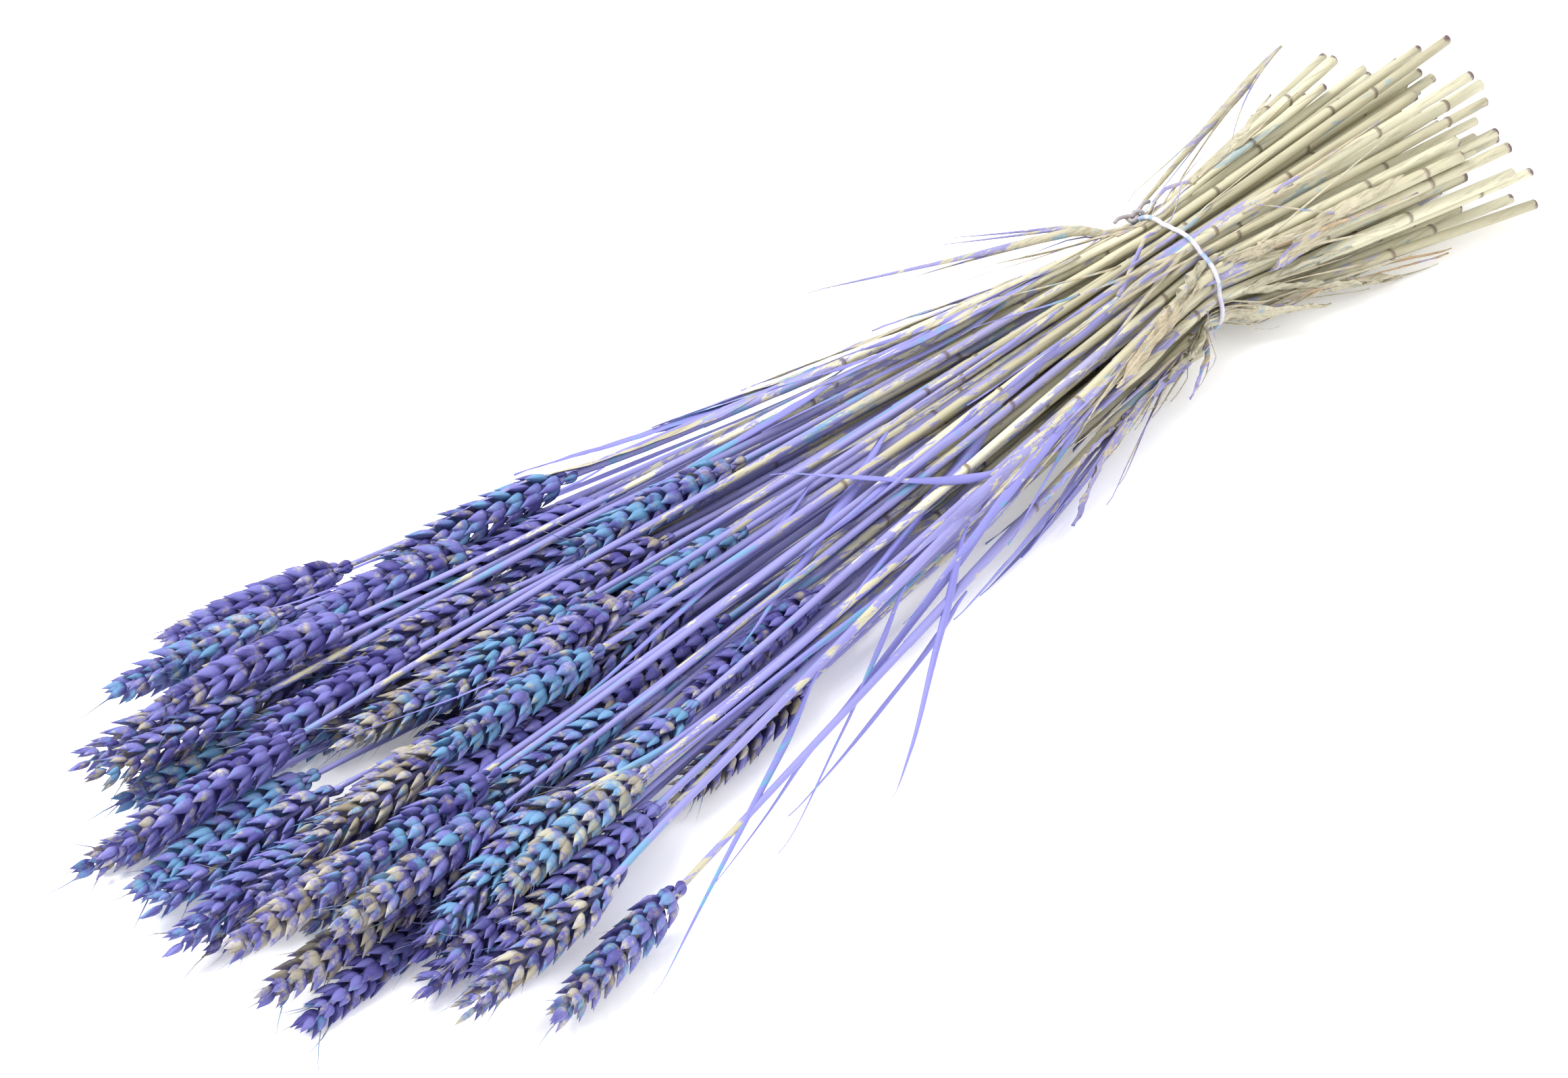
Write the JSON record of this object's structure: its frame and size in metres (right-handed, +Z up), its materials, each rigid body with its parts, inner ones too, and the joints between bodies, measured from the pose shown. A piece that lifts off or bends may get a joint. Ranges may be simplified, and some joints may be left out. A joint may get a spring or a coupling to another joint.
{
  "type": "tied bunch of dried wheat",
  "caption": "Tied bunch of dried, dyed wheat lying down: straws with ears fan out from a string tie, with cut ends and loose dry leaves.",
  "frame": {"origin": "under the middle of the bunch, on the surface that it lies on", "axes": "+X along the bunch towards the cut ends, so the ears point to -X; +Y across the fan; +Z up"},
  "size_m": [0.7264, 0.2574, 0.0699],
  "materials": {
    "dyed_straw": "matt dried straw and husk, dyed violet and sky blue in patches over its own straw colour",
    "dry_leaf": "thin dry leaf, pale violet and straw, faintly ribbed along its length",
    "string": "thin white twisted string with a few violet stains"
  },
  "bodies": {
    "root": {"wheat_stalk_01": "dyed_straw", "wheat_stalk_02": "dyed_straw", "wheat_stalk_03": "dyed_straw", "wheat_stalk_04": "dyed_straw", "wheat_stalk_05": "dyed_straw", "wheat_stalk_06": "dyed_straw", "wheat_stalk_07": "dyed_straw", "wheat_stalk_08": "dyed_straw", "wheat_stalk_09": "dyed_straw", "wheat_stalk_10": "dyed_straw", "wheat_stalk_11": "dyed_straw", "wheat_stalk_12": "dyed_straw", "wheat_stalk_13": "dyed_straw", "wheat_stalk_14": "dyed_straw", "wheat_stalk_15": "dyed_straw", "wheat_stalk_16": "dyed_straw", "wheat_stalk_17": "dyed_straw", "wheat_stalk_18": "dyed_straw", "wheat_stalk_19": "dyed_straw", "wheat_stalk_20": "dyed_straw", "wheat_stalk_21": "dyed_straw", "wheat_stalk_22": "dyed_straw", "wheat_stalk_23": "dyed_straw", "wheat_stalk_24": "dyed_straw", "wheat_stalk_25": "dyed_straw", "wheat_stalk_26": "dyed_straw", "wheat_stalk_27": "dyed_straw", "wheat_stalk_28": "dyed_straw", "wheat_stalk_29": "dyed_straw", "wheat_stalk_30": "dyed_straw", "wheat_stalk_31": "dyed_straw", "wheat_stalk_32": "dyed_straw", "wheat_stalk_33": "dyed_straw", "wheat_stalk_34": "dyed_straw", "wheat_stalk_35": "dyed_straw", "wheat_stalk_36": "dyed_straw", "wheat_stalk_37": "dyed_straw", "wheat_stalk_38": "dyed_straw", "wheat_stalk_39": "dyed_straw", "wheat_stalk_40": "dyed_straw", "wheat_stalk_41": "dyed_straw", "wheat_stalk_42": "dyed_straw", "wheat_stalk_43": "dyed_straw", "wheat_stalk_44": "dyed_straw", "wheat_stalk_45": "dyed_straw", "wheat_stalk_46": "dyed_straw", "wheat_stalk_47": "dyed_straw", "wheat_stalk_48": "dyed_straw", "wheat_stalk_49": "dyed_straw", "wheat_stalk_50": "dyed_straw", "wheat_stalk_51": "dyed_straw", "wheat_stalk_52": "dyed_straw", "wheat_stalk_53": "dyed_straw", "wheat_stalk_54": "dyed_straw", "wheat_stalk_55": "dyed_straw", "wheat_stalk_56": "dyed_straw", "leaf_blade_1": "dry_leaf", "leaf_blade_2": "dry_leaf", "leaf_blade_3": "dry_leaf", "tie_string": "string"}
  },
  "joints": []
}
